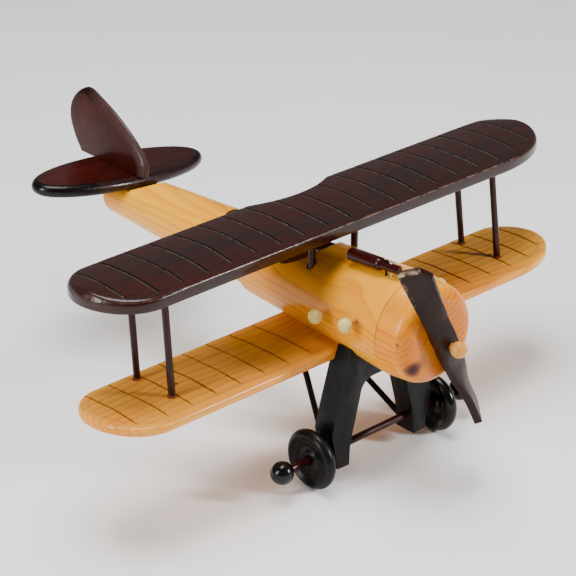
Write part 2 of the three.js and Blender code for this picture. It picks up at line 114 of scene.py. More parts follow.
def piece(name, verts, faces, look, node, angle=32.0, attributes=None):
    """A closed mesh in drawing millimetres that stands for a CAD node and moves with its body."""
    mesh = make_mesh(name, verts, faces)
    for key, values in (attributes or {}).items():
        layer = mesh.attributes.new(key, "FLOAT", "POINT")
        layer.data.foreach_set("value", np.asarray(values, np.float32))
    clean(mesh, 1e-6)
    obj = add_object(name, mesh)
    mesh.materials.append(look)
    smooth(obj, angle)
    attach(obj, body_of[node])
    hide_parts(node)
    return obj


def smooth(obj, angle):
    obj.data.shade_smooth()
    obj.data.set_sharp_from_angle(angle=math.radians(angle))


def apply_modifiers(obj):
    bpy.context.view_layer.update()
    graph = bpy.context.evaluated_depsgraph_get()
    baked = bpy.data.meshes.new_from_object(obj.evaluated_get(graph))
    obj.modifiers.clear()
    obj.data = baked


def carve(obj, tools, angle=32.0):
    """Cuts each (verts, faces) solid, in drawing millimetres, out of a piece."""
    helpers = []
    for verts, faces in tools:
        mesh = make_mesh("tool", verts, faces)
        clean(mesh)
        tool = add_object("tool", mesh)
        change = obj.modifiers.new("cut", "BOOLEAN")
        change.operation, change.solver, change.object = "DIFFERENCE", "EXACT", tool
        helpers.append(tool)
    apply_modifiers(obj)
    for tool in helpers:
        bpy.data.objects.remove(tool)
    smooth(obj, angle)


def bevel(obj, width, segments, angle):
    """Rounds every edge that is sharper than 30 degrees."""
    change = obj.modifiers.new("bevel", "BEVEL")
    change.width, change.segments = width / 1000, segments
    change.limit_method, change.angle_limit = "ANGLE", math.radians(30)
    change.harden_normals = False
    apply_modifiers(obj)
    smooth(obj, angle)


def paint_attribute(obj, key, value_at):
    """Stores value_at(points in drawing millimetres) on a piece's vertices."""
    mesh = obj.data
    co = np.zeros(len(mesh.vertices) * 3)
    mesh.vertices.foreach_get("co", co)
    points = co.reshape(-1, 3) * 1000 + (0, MIDDLE_Y, 0)
    layer = mesh.attributes.get(key) or mesh.attributes.new(key, "FLOAT", "POINT")
    layer.data.foreach_set("value", np.asarray(value_at(points), np.float32))


def quads(rows, count, closed=True):
    """Faces between neighbouring rows of count vertices; a closed row joins its last vertex to its first."""
    faces = []
    for i in range(rows - 1):
        for j in range(count if closed else count - 1):
            a, b = i * count + j, i * count + (j + 1) % count
            faces.append((a, b, b + count, a + count))
    return faces


def skin(rings, caps=True):
    """Vertices and faces over rings of equal length, with a flat cap on each end."""
    count = len(rings[0])
    verts = [p for ring in rings for p in ring]
    faces = quads(len(rings), count)
    if caps:
        faces.append(tuple(range(count))[::-1])
        faces.append(tuple(range((len(rings) - 1) * count, len(rings) * count)))
    return verts, faces


def frame_along(direction):
    """A unit vector along a direction and two across it."""
    d = np.asarray(direction, float) / np.linalg.norm(direction)
    side = np.cross(d, (0, 0, 1) if abs(d[2]) < 0.9 else (1, 0, 0))
    side /= np.linalg.norm(side)
    return d, side, np.cross(d, side)


def lathe(profile, start, direction, sides=96, wobble=0.0, seed=0.0):
    """A profile of (distance along, radius) pairs turned about a line, with a slight hand-turned unevenness."""
    d, s, u = frame_along(direction)
    rings = []
    for t, r in profile:
        ring = []
        for k in range(sides):
            a = 2 * math.pi * k / sides
            out = math.cos(a) * s + math.sin(a) * u
            grow = wobble * noise.noise(Vector(out * 1.7 + d * t * 0.03) + Vector((seed, seed, 0))) if wobble else 0
            ring.append(np.asarray(start) + d * t + out * max(r + grow, 1e-3))
        rings.append(ring)
    return skin(rings)


def box(x0, x1, y0, y1, z0, z1):
    verts = [(x, y, z) for x in (x0, x1) for y in (y0, y1) for z in (z0, z1)]
    return verts, [(0, 1, 3, 2), (4, 6, 7, 5), (0, 4, 5, 1), (2, 3, 7, 6), (0, 2, 6, 4), (1, 5, 7, 3)]


def rolled(points):
    """Turns the tail pieces about the length of the model, as their seat is cut."""
    p = np.asarray(points, float).copy()
    x, z = p[:, 0].copy(), p[:, 2] - TAIL_Z
    p[:, 0] = x * math.cos(TAIL_ROLL) + z * math.sin(TAIL_ROLL)
    p[:, 2] = TAIL_Z - x * math.sin(TAIL_ROLL) + z * math.cos(TAIL_ROLL)
    return p


def rod_of(node):
    """The two ends and the radius of a CAD rod, in drawing millimetres."""
    mesh = frame["nodes"][node].data
    co = np.array([v.co for v in mesh.vertices]) * 1000 + (0, MIDDLE_Y, 0)
    middle = (co.min(0) + co.max(0)) / 2
    axis = np.linalg.svd(co - co.mean(0))[2][0]
    along = (co - middle) @ axis
    radius = np.linalg.norm((co - middle) - np.outer(along, axis), axis=1).max()
    if axis[2] < -1e-6 or (abs(axis[2]) < 1e-6 and axis.sum() < 0):
        axis = -axis
        along = -along
    return middle + axis * along.min(), middle + axis * along.max(), radius


def ease(x, a, b):
    """Rises smoothly from 0 at a to 1 at b."""
    t = np.clip((np.asarray(x, float) - a) / (b - a), 0, 1)
    return t * t * (3 - 2 * t)


# ---- materials ----
def linear(colour):
    """A seen sRGB colour as a linear one, mixed deeper because the view transform lifts darks and pales colours."""
    return tuple(((c / 255 + 0.055) / 1.055) ** (2.4 * DEEPER) for c in colour) + (1.0,)


class Look:
    """A node material with a principled shader and short calls for the nodes that feed it."""

    def __init__(self, name):
        self.material = bpy.data.materials.new(name)
        self.material.use_nodes = True
        self.tree = self.material.node_tree
        self.tree.nodes.clear()
        output = self.tree.nodes.new("ShaderNodeOutputMaterial")
        self.shader = self.tree.nodes.new("ShaderNodeBsdfPrincipled")
        self.tree.links.new(self.shader.outputs[0], output.inputs[0])
        place = self.tree.nodes.new("ShaderNodeTexCoord")
        self.mm = self.vector("SCALE", place.outputs["Object"], Scale=1000.0)

    def feed(self, socket, value):
        if hasattr(value, "links"):
            self.tree.links.new(value, socket)
        else:
            socket.default_value = value

    def vector(self, operation, *values, Scale=None):
        node = self.tree.nodes.new("ShaderNodeVectorMath")
        node.operation = operation
        for socket, value in zip(node.inputs, values):
            self.feed(socket, value)
        if Scale is not None:
            self.feed(node.inputs["Scale"], Scale)
        return node.outputs["Value" if operation in ("LENGTH", "DISTANCE", "DOT_PRODUCT") else "Vector"]

    def math(self, operation, *values, clamp=False):
        node = self.tree.nodes.new("ShaderNodeMath")
        node.operation, node.use_clamp = operation, clamp
        for socket, value in zip(node.inputs, values):
            self.feed(socket, value)
        return node.outputs[0]

    def noise(self, where, scale, detail=3.0, rough=0.5, bend=0.0, stretch=(1, 1, 1)):
        node = self.tree.nodes.new("ShaderNodeTexNoise")
        if stretch != (1, 1, 1):
            where = self.vector("MULTIPLY", where, stretch)
        self.feed(node.inputs["Vector"], where)
        for key, value in (("Scale", scale), ("Detail", detail), ("Roughness", rough), ("Distortion", bend)):
            self.feed(node.inputs[key], value)
        return node.outputs[0]

    def cells(self, where, scale, stretch=(1, 1, 1)):
        node = self.tree.nodes.new("ShaderNodeTexVoronoi")
        if stretch != (1, 1, 1):
            where = self.vector("MULTIPLY", where, stretch)
        self.feed(node.inputs["Vector"], where)
        self.feed(node.inputs["Scale"], scale)
        return node.outputs["Distance"]

    def ramp(self, factor, *stops):
        """stops are (position, value) pairs; a value is a grey number or an sRGB triple."""
        node = self.tree.nodes.new("ShaderNodeValToRGB")
        ramp = node.color_ramp
        while len(ramp.elements) < len(stops):
            ramp.elements.new(0.5)
        for element, (where, value) in zip(ramp.elements, stops):
            element.position = where
            element.color = linear(value) if isinstance(value, tuple) else (value, value, value, 1)
        self.feed(node.inputs[0], factor)
        return node.outputs[0]

    def mix(self, factor, a, b, blend="MIX"):
        node = self.tree.nodes.new("ShaderNodeMix")
        node.data_type, node.blend_type = "RGBA", blend
        node.clamp_factor = True
        colours = [s for s in node.inputs if s.type == "RGBA"]
        self.feed(node.inputs[0], factor)
        for socket, value in zip(colours, (a, b)):
            self.feed(socket, linear(value) if isinstance(value, tuple) else value)
        return next(s for s in node.outputs if s.type == "RGBA")

    def attribute(self, name):
        node = self.tree.nodes.new("ShaderNodeAttribute")
        node.attribute_name = name
        return node.outputs["Fac"]

    def axis(self, where, index):
        node = self.tree.nodes.new("ShaderNodeSeparateXYZ")
        self.feed(node.inputs[0], where)
        return node.outputs[index]

    def normal_axis(self, index):
        node = self.tree.nodes.new("ShaderNodeNewGeometry")
        return self.axis(node.outputs["Normal"], index)

    def bump(self, height, strength, distance, below=None):
        node = self.tree.nodes.new("ShaderNodeBump")
        node.inputs["Strength"].default_value = strength
        node.inputs["Distance"].default_value = distance
        self.feed(node.inputs["Height"], height)
        if below is not None:
            self.feed(node.inputs["Normal"], below)
        return node.outputs[0]

    def finish(self, colour, roughness, normal, coat=0.0, coat_roughness=0.08, specular=0.5, metal=0.0):
        pairs = {"Base Color": colour, "Roughness": roughness, "Normal": normal, "Coat Weight": coat,
                 "Coat Roughness": coat_roughness, "Specular IOR Level": specular, "Metallic": metal}
        for key, value in pairs.items():
            self.feed(self.shader.inputs[key], value)
        return self.material


def along(axis, amount):
    """Stretches a pattern along one axis: amount is how slowly it changes there."""
    return tuple(amount if k == axis else 1.0 for k in range(3))


def pine(name, axis, pith, light, dark, streak, ring=4.2, contrast=0.5, knots=(), end=None, inside=None, groove=None,
         inset=False, marks=()):
    """Varnished pine: growth rings about a pith line along one axis, streaks, fibres, knots and a clear coat.

    knots are (x, y, z, size) and marks are (x, y, z, length, width, colour); on the fuselage, the marks along the gun
    are painted shadow of the gun, partly scuffs. end colours the end grain, inside a cockpit's stained walls and the
    walls of the cabane strut's hole, where that dark is painted shade, groove the carved lines; inset draws a faint
    line inside a wing tip's edge.
    """
    m = Look(name)
    slow = m.noise(m.mm, 0.014, 2, 0.5, 0.0, along(axis, 0.35))
    fine = m.noise(m.mm, 0.11, 3, 0.6, 0.3, along(axis, 0.12))
    bent = m.vector("SUBTRACT", m.mm, pith)
    bent = m.vector("MULTIPLY", bent, along(axis, 0.0))
    reach = m.vector("LENGTH", bent)
    reach = m.math("ADD", reach, m.math("MULTIPLY", slow, 34.0))
    reach = m.math("ADD", reach, m.math("MULTIPLY", fine, 2.6))
    knot_dark = None
    for x, y, z, size in knots:
        gap = m.vector("DISTANCE", m.mm, (x, y - MIDDLE_Y, z))
        gap = m.math("ADD", gap, m.math("MULTIPLY", m.math("SUBTRACT", fine, 0.5), size * 0.7))
        pull = m.math("DIVIDE", size * size * 1.6, m.math("ADD", m.math("MULTIPLY", gap, gap), size * size * 0.4))
        reach = m.math("ADD", reach, m.math("MULTIPLY", pull, 3.0))
        spot = m.math("SUBTRACT", 1.0, m.math("DIVIDE", gap, size), clamp=True)
        knot_dark = spot if knot_dark is None else m.math("MAXIMUM", knot_dark, spot)
    rings = m.math("FRACT", m.math("DIVIDE", reach, ring))
    rings = m.ramp(rings, (0.0, 0.25), (0.08, 0.0), (0.5, 0.12), (0.84, 0.62), (0.95, 1.0), (1.0, 0.25))
    amount = m.math("MULTIPLY", rings, contrast)
    fading = m.noise(m.mm, 0.021, 2, 0.5, 0.0, along(axis, 0.5))
    amount = m.math("MULTIPLY", amount, m.ramp(fading, (0.3, 0.35), (0.7, 1.0)))
    colour = m.mix(amount, light, dark)
    patch = m.ramp(m.noise(m.mm, 0.016, 3, 0.55, 0.4, along(axis, 0.3)), (0.42, 0.0), (0.72, 0.75))
    colour = m.mix(m.math("MULTIPLY", patch, 0.6), colour, streak, "MULTIPLY")
    fibres = m.noise(m.mm, 1.5, 4, 0.65, 0.0, along(axis, 0.035))
    colour = m.mix(m.ramp(fibres, (0.3, 0.28), (0.52, 0.0), (0.75, 0.1)), colour, dark)
    flecks = m.ramp(m.cells(m.mm, 0.55, along(axis, 0.09)), (0.02, 1.0), (0.09, 0.0))
    colour = m.mix(m.math("MULTIPLY", flecks, 0.3), colour, dark)
    if end:
        face = m.math("ABSOLUTE", m.normal_axis(axis))
        face = m.ramp(face, (0.3, 0.0), (0.86, 1.0))
        speck = m.noise(m.mm, 0.9, 3, 0.6)
        tone = m.mix(m.ramp(speck, (0.35, 0.0), (0.7, 1.0)), end[0], end[1])
        colour = m.mix(m.math("MULTIPLY", face, 0.78), colour, m.mix(amount, tone, end[2]))
    if knot_dark is not None:
        colour = m.mix(m.ramp(knot_dark, (0.0, 0.0), (0.25, 0.65), (0.6, 1.0)), colour, (110, 40, 18))
        colour = m.mix(m.ramp(knot_dark, (0.5, 0.0), (0.8, 0.85)), colour, (52, 20, 12))
    for x, y, z, length, width, tone in marks:
        offset = m.vector("SUBTRACT", m.mm, (x, y - MIDDLE_Y, z))
        offset = m.vector("MULTIPLY", offset, (1 / width, 1 / length, 1 / width))
        ragged = m.math("ADD", m.vector("LENGTH", offset), m.math("MULTIPLY", m.noise(m.mm, 1.4, 2), 0.8))
        colour = m.mix(m.ramp(ragged, (0.55, 0.85), (1.2, 0.0)), colour, tone)
    rough = m.ramp(m.noise(m.mm, 0.05, 3), (0.3, 0.26), (0.7, 0.38))
    if inside:
        # the walls colour is the cockpits' real stain, and painted shade in the cabane strut's hole
        hollow = m.attribute("inside")
        walls = m.mix(m.ramp(fibres, (0.3, 0.0), (0.7, 1.0)), inside[0], inside[1])
        colour = m.mix(hollow, colour, walls)
    if groove:
        line = m.attribute("groove")
        ragged = m.noise(m.mm, 0.5, 3)
        line = m.math("MULTIPLY", line, m.ramp(ragged, (0.3, 0.55), (0.6, 1.0)))
        colour = m.mix(line, colour, groove)
    if inset:
        edge = m.attribute("edge_gap")
        edge = m.math("ABSOLUTE", m.math("SUBTRACT", edge, 7.0))
        faint = m.math("MULTIPLY", m.ramp(edge, (0.25, 1.0), (0.8, 0.0)), m.attribute("tip"))
        faint = m.math("MULTIPLY", faint, m.ramp(m.noise(m.mm, 0.12, 2), (0.4, 0.1), (0.65, 0.65)))
        colour = m.mix(faint, colour, (150, 95, 45))
    grit = m.noise(m.mm, 0.8, 2)
    normal = m.bump(fibres, 0.12, 0.0003)
    normal = m.bump(m.noise(m.mm, 0.045, 3, 0.5), 0.3, 0.0012, normal)
    normal = m.bump(grit, 0.05, 0.0003, normal)
    return m.finish(colour, rough, normal, coat=0.28, coat_roughness=0.06, specular=0.12)


def mahogany(name, axis, base, patch, fleck, patches=0.5, gloss=0.3, coat=0.5, groove=None, worn=None, speckle=0.0,
             nose_facing_shade=None, rim=None):
    """Dark stained wood: reddish patches, long pores, a worn arris and a varnish that isn't quite even.

    groove and rim are pairs of colours: for groove the dark carved lines and a pale painted highlight on one lip of
    each, for rim the darker stained rounded edge and pale specks of painted highlight on its front. What faces the nose
    is
    coloured darker by its facing direction: painted shade.
    """
    m = Look(name)
    spread = m.noise(m.mm, 0.02, 3, 0.55, 0.5, along(axis, 0.35))
    colour = m.mix(m.ramp(spread, (0.38, 0.0), (0.66, patches)), base, patch)
    bands = m.noise(m.mm, 0.34, 3, 0.6, 0.4, along(axis, 0.07))
    colour = m.mix(m.ramp(bands, (0.4, 0.0), (0.66, 0.55)), colour, patch)
    pores = m.noise(m.mm, 1.6, 3, 0.7, 0.0, along(axis, 0.045))
    colour = m.mix(m.ramp(pores, (0.3, 0.8), (0.48, 0.0)), colour, tuple(int(c * 0.45) for c in base))
    colour = m.mix(m.ramp(m.cells(m.mm, 0.7, along(axis, 0.1)), (0.03, 0.55), (0.1, 0.0)), colour, fleck)
    # painted shade: faces that look toward the nose take a darker, redder colour by their facing direction
    if nose_facing_shade:
        painted_front_shade = m.ramp(m.math("MULTIPLY", m.normal_axis(1), -1.0), (0.55, 0.0), (0.9, 0.8))
        colour = m.mix(painted_front_shade, colour, nose_facing_shade)
    if groove:
        line = m.attribute("groove")
        colour = m.mix(line, colour, groove[0])
        # painted highlight: a pale line along one lip of each carved groove
        painted_lip_highlight = m.math("MULTIPLY", m.attribute("groove_lip_highlight"), m.ramp(m.noise(m.mm, 0.3, 3), (0.35, 0.15), (0.65, 0.9)))
        colour = m.mix(painted_lip_highlight, colour, groove[1])
    if rim:
        colour = m.mix(m.attribute("rim"), colour, rim[0])
        # painted highlight: pale specks over the front of the rounded edge
        painted_highlight_specks = m.math("MULTIPLY", m.ramp(m.noise(m.mm, 1.3, 3, 0.7), (0.4, 0.1), (0.75, 0.7)), m.attribute("painted_sheen"))
        colour = m.mix(painted_highlight_specks, colour, rim[1])
    if worn:
        arris = m.math("MULTIPLY", m.attribute("worn"), m.ramp(m.noise(m.mm, 0.22, 4, 0.65), (0.42, 0.0), (0.6, 1.0)))
        colour = m.mix(arris, colour, worn)
    rough = m.ramp(m.noise(m.mm, 0.06, 3), (0.3, gloss * 0.8), (0.7, gloss * 1.25))
    normal = m.bump(pores, 0.3, 0.0004)
    normal = m.bump(m.noise(m.mm, 0.05, 3), 0.35, 0.0012, normal)
    if speckle:
        normal = m.bump(m.noise(m.mm, 0.75, 3, 0.6), speckle, 0.0008, normal)
    return m.finish(colour, rough, normal, coat=coat * 0.4, coat_roughness=0.1, specular=0.14)


def painted(name, base, worn, gloss, coat=0.1, rough_paint=0.3, chips=0.25, specular=0.25, metal=0.0):
    """Brushed paint or plain metal with dust, chips and an orange-peel surface."""
    m = Look(name)
    wave = m.noise(m.mm, 0.06, 4, 0.55, 0.4)
    colour = m.mix(m.ramp(wave, (0.3, 0.0), (0.75, 0.5)), base, tuple(min(255, int(c * 1.35) + 5) for c in base))
    dust = m.noise(m.mm, 1.1, 3, 0.6)
    colour = m.mix(m.ramp(dust, (0.62, 0.0), (0.8, chips)), colour, worn)
    rough = m.ramp(m.noise(m.mm, 0.12, 3), (0.3, gloss * 0.8), (0.7, gloss * 1.3))
    normal = m.bump(m.noise(m.mm, 0.6, 2), rough_paint, 0.0004)
    normal = m.bump(m.noise(m.mm, 0.07, 3), 0.35, 0.001, normal)
    return m.finish(colour, rough, normal, coat=coat * 0.5, coat_roughness=0.12, specular=specular * 0.6, metal=metal)


FUSELAGE_KNOTS = ((-24.0, -187.5, 104.0, 7.5), (-33.0, -182.0, 124.0, 2.2))
fuselage_wood = pine("fuselage_wood", 1, (46.0, 0.0, 40.0), (244, 188, 52), (200, 114, 18), (232, 166, 84),
                     ring=5.2, contrast=0.75, inside=((96, 44, 26), (60, 26, 18)),
                     # the dark marks along the gun are painted shadow of the gun on the fuselage, partly scuffs
                     marks=((-17.5, -119, 152, 2.4, 0.8, (110, 62, 30)), (-17.0, -127, 153, 1.8, 0.6, (120, 70, 34)),
                            (-16.2, -134, 153.6, 3.0, 0.9, (90, 50, 26)), (-14.5, -143, 154.4, 1.6, 1.3, (60, 32, 18)),
                            (-20.0, -110, 151, 1.5, 0.5, (130, 76, 38))))
nose_wood = pine("nose_wood", 1, (38.0, 0.0, 60.0), (242, 180, 46), (200, 106, 14), (232, 166, 84), ring=4.6,
                 contrast=0.8, knots=FUSELAGE_KNOTS, end=((224, 150, 12), (196, 112, 4), (158, 74, 2)),
                 marks=((-28, -181.5, 145, 1.0, 0.35, (60, 30, 18)), (-33, -181, 137, 1.2, 0.3, (70, 36, 20)),
                        (-36, -180, 128, 0.9, 0.3, (60, 30, 18)), (-31, -184, 141, 0.6, 0.25, (60, 30, 18))))
boom_wood = pine("boom_wood", 1, (-30.0, 0.0, 70.0), (246, 192, 56), (206, 120, 22), (236, 172, 88), ring=6.0,
                 contrast=0.6, inside=((104, 46, 30), (70, 30, 22)))
wing_pine = pine("wing_pine", 0, (0.0, -20.0, 10.0), (240, 184, 84), (200, 128, 44), (230, 170, 104), ring=5.0,
                 contrast=0.75, groove=(150, 88, 36), inset=True)
# the second groove colour is a painted highlight on one lip of each groove
wing_dark = mahogany("wing_dark", 0, (64, 52, 52), (90, 46, 38), (38, 29, 28), patches=0.5, gloss=0.26, coat=0.9,
                     # the colour given last here is painted shade on the faces toward the nose
                     groove=((26, 18, 17), (132, 136, 120)), worn=(168, 140, 118), nose_facing_shade=(66, 24, 14))
strut_wood = mahogany("strut_wood", 2, (62, 30, 24), (88, 36, 26), (30, 14, 12), gloss=0.3, coat=0.5)
gun_wood = mahogany("gun_wood", 1, (62, 22, 16), (92, 32, 20), (30, 12, 10), gloss=0.24, coat=0.7)
# the second rim colour is pale specks of painted highlight on the front of the rounded edge
tail_wood = mahogany("tail_wood", 2, (68, 28, 20), (94, 38, 26), (38, 14, 10), patches=0.8, gloss=0.36, coat=0.3,
                     speckle=0.35, rim=((54, 27, 25), (132, 98, 96)))
tail_flat_wood = mahogany("tail_flat_wood", 0, (58, 27, 23), (98, 42, 32), (32, 13, 11), patches=0.75, gloss=0.28,
                          coat=0.55, speckle=0.25, rim=((30, 20, 22), (120, 84, 80)))
blade_wood = mahogany("blade_wood", 2, (52, 32, 22), (72, 42, 26), (28, 18, 14), patches=0.6, gloss=0.42, coat=0.15,
                      worn=(186, 164, 140), speckle=0.3)
peg_wood = mahogany("peg_wood", 0, (206, 152, 82), (218, 166, 94), (150, 102, 52), gloss=0.35, coat=0.4)
axle_wood = mahogany("axle_wood", 0, (70, 32, 36), (96, 44, 44), (40, 18, 20), gloss=0.3, coat=0.4)
birch_wood = pine("birch_wood", 1, (6.0, 0.0, 100.0), (226, 192, 142), (196, 154, 100), (226, 190, 140), ring=2.4,
                  contrast=0.35)
bead_wood = pine("bead_wood", 1, (10.0, 0.0, 112.0), (226, 178, 96), (180, 118, 50), (226, 180, 120), ring=2.6,
                 contrast=0.45)
leg_paint = painted("leg_paint", (27, 29, 31), (92, 94, 94), 0.42, coat=0.06, rough_paint=0.3, chips=0.1)
wheel_paint = painted("wheel_paint", (24, 25, 28), (84, 86, 86), 0.36, coat=0.12, rough_paint=0.25, chips=0.1)
gloss_paint = painted("gloss_paint", (25, 27, 25), (88, 92, 80), 0.2, coat=0.5, rough_paint=0.18, chips=0.08)
ivory_paint = painted("ivory_paint", (206, 184, 124), (166, 136, 80), 0.24, coat=0.5, rough_paint=0.14, chips=0.35)
nail_black = painted("nail_black", (24, 23, 24), (70, 66, 62), 0.5, rough_paint=0.3, chips=0.2, specular=0.12,
                     metal=0.1)
nail_steel = painted("nail_steel", (176, 176, 178), (118, 112, 106), 0.28, rough_paint=0.2, chips=0.4, metal=0.95)
glue = painted("glue", (126, 78, 50), (178, 150, 120), 0.14, coat=0.7, rough_paint=0.1, chips=0.1)


# ---- fuselage ----
def body_radius(y):
    return COWL_JOINT_R + (BODY_END_R - COWL_JOINT_R) * (y - COWL_JOINT_Y) / (TAIL_JOINT_Y - COWL_JOINT_Y)


def cockpit(y, radius, floor, fillet=3):
    """A turned recess with a rounded corner at its floor."""
    corner = [(fillet - fillet * math.cos(a), radius - fillet + fillet * math.sin(a)) for a in
              np.linspace(0, math.pi / 2, 7)]
    return lathe(corner + [(60, radius)], (0, y, floor), (0, 0, 1), 120)


def within(points, x, y, radius):
    return np.hypot(points[:, 0] - x, points[:, 1] - y) < radius


def inside_of(place):
    y, radius, floor = place
    return lambda p: (within(p, 0, y, radius + 0.05) & (p[:, 2] > floor - 0.1)).astype(float)


nose_round, nose_length = 11.5, 25.4
nose = [(0, 0.001), (0, 10), (0, 20)]
nose += [(nose_round * (1 - math.cos(a)), NOSE_R - nose_round + nose_round * math.sin(a)) for a in
         np.linspace(0, math.pi / 2, 22)]
nose += [(d, NOSE_R + (COWL_JOINT_R - NOSE_R) * (d - nose_round) / 14) for d in np.linspace(13, 24.7, 9)]
nose += [(nose_length - 0.15, COWL_JOINT_R - 0.12), (nose_length, COWL_JOINT_R - 0.5), (nose_length, 0.001)]
verts, faces = lathe(nose, (0, NOSE_Y, AXIS_Z), (0, 1, 0), 144, LOG_WOBBLE)
piece("nose_cowl_turned", verts, faces, nose_wood, "nose_cowl")

length = TAIL_JOINT_Y - COWL_JOINT_Y
body = [(0.05, 0.001), (0.05, COWL_JOINT_R - 0.5), (0.2, COWL_JOINT_R - 0.12)]
body += [(d, body_radius(COWL_JOINT_Y + d)) for d in np.linspace(0.9, length - 1.3, 64)]
body += [(length - 0.6, BODY_END_R - 0.15), (length - 0.15, BODY_END_R - 0.8), (length - 0.15, 0.001)]
verts, faces = lathe(body, (0, COWL_JOINT_Y, AXIS_Z), (0, 1, 0), 144, LOG_WOBBLE)
log = piece("fuselage_log", verts, faces, fuselage_wood, "fuselage_body")
seat = box(-60, 60, LOWER["front"] - 0.3, LOWER["rear"] + 0.3, 60, LOWER["under"] + 5.2)
foot = lathe([(0, CABANE_HOLE_R), (14, CABANE_HOLE_R)], CABANE_FOOT, (0, 0, 1), 32)
carve(log, [cockpit(*FRONT_COCKPIT), seat, foot])
# the cabane strut's hole takes the dark cockpit colour too: painted shade where the strut's shadow falls
paint_attribute(log, "inside", lambda p: np.maximum(
    inside_of(FRONT_COCKPIT)(p), within(p, *CABANE_FOOT[:2], CABANE_HOLE_R + 0.05).astype(float)))

boom_length = TAIL_END_Y - TAIL_JOINT_Y
boom_round = 3.5
straight = boom_length - boom_round
boom = [(0.15, 0.001), (0.15, BOOM_START_R)]
boom += [(d, BOOM_START_R + (BOOM_END_R - BOOM_START_R) * d / straight) for d in np.linspace(1, straight - 0.1, 70)]
boom += [(straight + boom_round * math.sin(a), BOOM_END_R - boom_round + boom_round * math.cos(a)) for a in
         np.linspace(0, math.pi / 2, 9)]
boom += [(boom_length, 0.001)]
verts, faces = lathe(boom, (0, TAIL_JOINT_Y, AXIS_Z), (0, 1, 0), 132, LOG_WOBBLE, 4.0)
verts = [(x, y, z - BOOM_DROOP * (y - TAIL_JOINT_Y) / boom_length) for x, y, z in verts]
tail = piece("tail_boom_log", verts, faces, boom_wood, "tail_boom")
flat_verts, flat_faces = box(-40, 40, 127.2, TAIL_END_Y + 5, TAIL_Z - 5.2, AXIS_Z + 40)
ramp = [(x, y, z) for x in (-40, 40) for y, z in ((109, 138.6), (127.4, 129.4), (127.4, 150), (109, 150))]
ramp_faces = [(0, 1, 2, 3), (4, 7, 6, 5), (0, 4, 5, 1), (1, 5, 6, 2), (2, 6, 7, 3), (3, 7, 4, 0)]
carve(tail, [cockpit(*REAR_COCKPIT), (rolled(flat_verts), flat_faces), (rolled(ramp), ramp_faces)])
paint_attribute(tail, "inside", inside_of(REAR_COCKPIT))


# ---- wings ----
def corner_share(to_tip, reach):
    """How much of a rounded wing corner is left at a distance from the tip."""
    past = np.clip(1 - to_tip / reach, 0, 1)
    return np.sqrt(1 - past * past)


def chord(wing, x, scallop):
    """Front edge, rear edge and uncut rear edge of a wing at x."""
    hand = "right" if x < wing["middle"] else "left"
    to_tip = max(wing["half"] - abs(x - wing["middle"]), 0)
    tip_y = wing["rear"] - wing["depth"]
    y0 = min(tip_y - (tip_y - wing["front"]) * corner_share(to_tip, wing[hand]), tip_y - 0.7)
    y1 = max(tip_y + wing["depth"] * corner_share(to_tip, wing["back"]), tip_y + 0.7)
    uncut = y1
    if scallop:
        reach = (SCALLOP_HALF ** 2 + SCALLOP_DEPTH ** 2) / (2 * SCALLOP_DEPTH)
        middle = wing["rear"] - SCALLOP_DEPTH + reach
        if abs(x) < SCALLOP_HALF + 2:
            bowl = middle - math.sqrt(reach ** 2 - min(abs(x), SCALLOP_HALF + 1) ** 2)
            if bowl < y1 + 3:
                y1 = -math.log(math.exp(-y1 / SCALLOP_BLEND) + math.exp(-bowl / SCALLOP_BLEND)) * SCALLOP_BLEND
    return y0, y1, uncut


